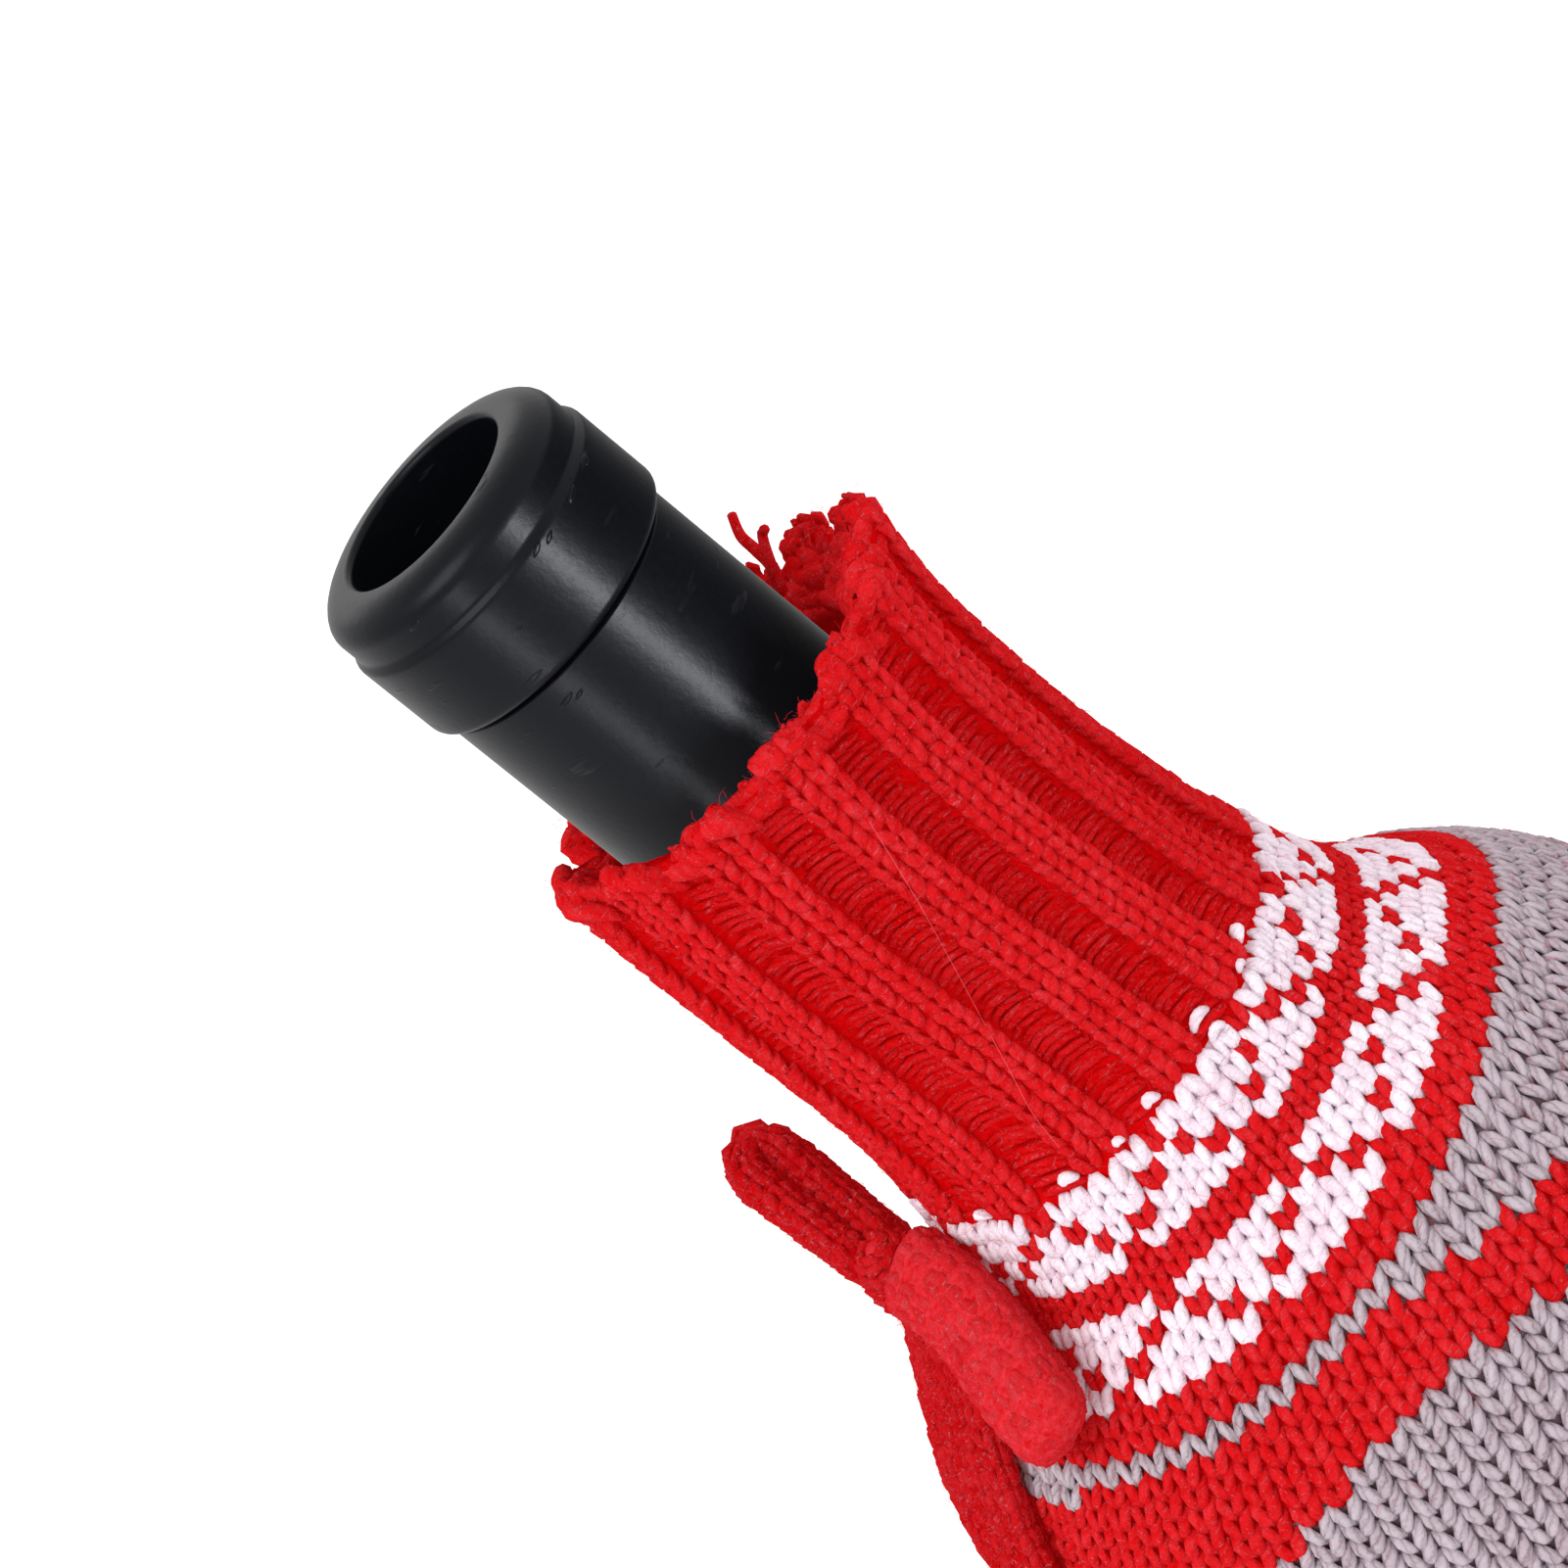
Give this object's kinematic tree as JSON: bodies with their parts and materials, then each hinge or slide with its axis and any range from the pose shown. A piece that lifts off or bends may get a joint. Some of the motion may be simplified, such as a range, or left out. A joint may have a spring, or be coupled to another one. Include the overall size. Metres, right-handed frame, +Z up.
{
  "type": "knitted wine bottle cover on a plain wine bottle",
  "caption": "Red and grey knitted sleeve with a ribbed collar, a white patterned yoke and a tied bow, pulled over a plain black wine bottle.",
  "frame": {"origin": "centre of the bottle's base, on the surface it stands on", "axes": "+Z up along the bottle, -Y towards the front, +X to the right as seen from the front"},
  "size_m": [0.0898, 0.0845, 0.3],
  "materials": {
    "black_glass": "satin black glass, opaque",
    "knit": "wool-like knit in red, white and grey yarn",
    "tie_knit": "soft brushed red knit"
  },
  "bodies": {
    "root": {"bottle": "black_glass", "cover": "knit", "tie": "tie_knit"}
  },
  "joints": []
}
